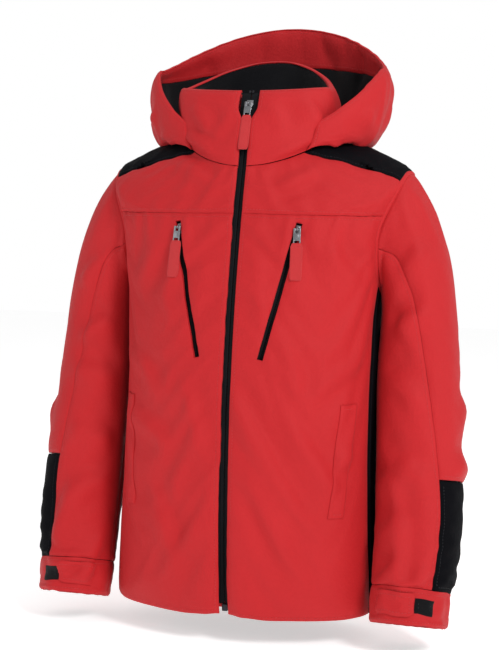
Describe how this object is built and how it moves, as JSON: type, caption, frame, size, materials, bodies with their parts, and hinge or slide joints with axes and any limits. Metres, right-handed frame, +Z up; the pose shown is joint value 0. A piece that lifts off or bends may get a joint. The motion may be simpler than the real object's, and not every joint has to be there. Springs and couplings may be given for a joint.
{
  "type": "ski jacket",
  "caption": "Child's padded ski jacket with stand-up collar, open hood, full front zip, slanted chest zips and adjustable cuffs.",
  "frame": {"origin": "middle of the neck opening, level with the high point of the shoulders", "axes": "+Z up, -Y the front, +X the wearer's left arm"},
  "size_m": [0.5624, 0.3001, 0.779],
  "materials": {
    "shell_red": "fine woven polyester face, matte with a soft sheen",
    "shell_black": "fine woven polyester face, matte",
    "lining_black": "smooth plain weave",
    "fleece_black": "short brushed pile",
    "zip_tape": "smooth coated tape",
    "zip_coil": "moulded coil",
    "slider_metal": "dull dark metal",
    "pull_fabric": "folded shell cloth, stitched",
    "loop_tape": "short hooked pile",
    "pocket_cloth": "light knitted cloth"
  },
  "bodies": {
    "jacket_body": {"front_panel_left": "shell_red", "front_panel_right": "shell_red", "front_yoke_left": "shell_red", "front_yoke_right": "shell_red", "shoulder_panel_left": "shell_black", "shoulder_panel_right": "shell_black", "side_panel_left": "shell_black", "side_panel_right": "shell_black", "back_panel": "shell_red", "back_yoke": "shell_red", "hem_facing": "lining_black", "body_lining": "lining_black", "collar_left": "shell_red", "collar_right": "shell_red", "collar_lining": "fleece_black", "storm_flap": "shell_black", "hang_loop": "lining_black", "main_zip_tape_right": "zip_tape", "main_zip_tape_left": "zip_tape", "main_zip_coils": "zip_coil", "main_zip_stops": "zip_coil", "chest_zip_tapes_left": "zip_tape", "chest_zip_tapes_right": "zip_tape", "chest_zip_coils": "zip_coil", "chest_pocket_bag_left": "pocket_cloth", "chest_pocket_bag_right": "pocket_cloth", "hand_pocket_welt_left": "shell_red", "hand_pocket_welt_right": "shell_red", "hand_pocket_bags": "pocket_cloth"},
    "hood": {"hood_side_left": "shell_red", "hood_side_right": "shell_red", "hood_centre_panel": "shell_red", "hood_lining": "lining_black", "hood_facing": "shell_red"},
    "sleeve_left": {"sleeve_front_left": "shell_red", "sleeve_outer_left": "shell_red", "sleeve_back_left": "shell_red", "forearm_panel_left": "shell_black", "cuff_left": "shell_red", "sleeve_lining_left": "lining_black", "cuff_patch_left": "loop_tape"},
    "sleeve_right": {"sleeve_front_right": "shell_red", "sleeve_outer_right": "shell_red", "sleeve_back_right": "shell_red", "forearm_panel_right": "shell_black", "cuff_right": "shell_red", "sleeve_lining_right": "lining_black", "cuff_patch_right": "loop_tape"},
    "cuff_strap_left": {"cuff_tab_left": "shell_red"},
    "cuff_strap_right": {"cuff_tab_right": "shell_red"},
    "main_zip_slider": {"main_slider": "slider_metal"},
    "main_zip_pull": {"main_puller": "slider_metal", "main_pull_tab": "pull_fabric"},
    "chest_zip_slider_left": {"chest_slider_left": "slider_metal"},
    "chest_zip_pull_left": {"chest_puller_left": "slider_metal", "chest_pull_tab_left": "pull_fabric"},
    "chest_zip_slider_right": {"chest_slider_right": "slider_metal"},
    "chest_zip_pull_right": {"chest_puller_right": "slider_metal", "chest_pull_tab_right": "pull_fabric"}
  },
  "joints": [
    {"name": "hood_tip", "type": "hinge", "parent": "jacket_body", "child": "hood", "pos_m": [0, 0.0934, 0.013], "axis": [-1, 0, 0], "range_deg": [0, 40]},
    {"name": "sleeve_raise_left", "type": "hinge", "parent": "jacket_body", "child": "sleeve_left", "pos_m": [0.19983, 0.038, -0.0449], "axis": [0, -1, 0], "range_deg": [0, 60]},
    {"name": "sleeve_raise_right", "type": "hinge", "parent": "jacket_body", "child": "sleeve_right", "pos_m": [-0.19983, 0.038, -0.0449], "axis": [0, 1, 0], "range_deg": [0, 60]},
    {"name": "cuff_open_left", "type": "hinge", "parent": "sleeve_left", "child": "cuff_strap_left", "pos_m": [0.1886, -0.06152, -0.57386], "axis": [0.0055, -0.2158, -0.9764], "range_deg": [0, 90]},
    {"name": "cuff_open_right", "type": "hinge", "parent": "sleeve_right", "child": "cuff_strap_right", "pos_m": [-0.1886, -0.06152, -0.57386], "axis": [0.0055, 0.2158, 0.9764], "range_deg": [0, 90]},
    {"name": "main_zip_run", "type": "hinge", "parent": "jacket_body", "child": "main_zip_slider", "pos_m": [0, 1.192, -0.387], "axis": [1, 0, 0], "range_deg": [0, 27.7]},
    {"name": "main_pull_swing", "type": "hinge", "parent": "main_zip_slider", "child": "main_zip_pull", "pos_m": [0, -0.03874, 0.03875], "axis": [-1, 0, 0], "range_deg": [0, 150]},
    {"name": "chest_zip_run_left", "type": "hinge", "parent": "jacket_body", "child": "chest_zip_slider_left", "pos_m": [-0.22484, 1.57178, -0.42177], "axis": [0.9618, 0.1327, -0.2394], "range_deg": [0, 5.32]},
    {"name": "chest_zip_run_right", "type": "hinge", "parent": "jacket_body", "child": "chest_zip_slider_right", "pos_m": [0.22484, 1.57178, -0.42177], "axis": [0.9618, -0.1327, 0.2394], "range_deg": [0, 5.32]},
    {"name": "chest_pull_swing_left", "type": "hinge", "parent": "chest_zip_slider_left", "child": "chest_zip_pull_left", "pos_m": [0.07754, -0.07619, -0.12018], "axis": [-0.9836, -0.1805, -0.0003], "range_deg": [0, 150]},
    {"name": "chest_pull_swing_right", "type": "hinge", "parent": "chest_zip_slider_right", "child": "chest_zip_pull_right", "pos_m": [-0.07754, -0.07619, -0.12018], "axis": [-0.9836, 0.1805, 0.0003], "range_deg": [0, 150]}
  ]
}
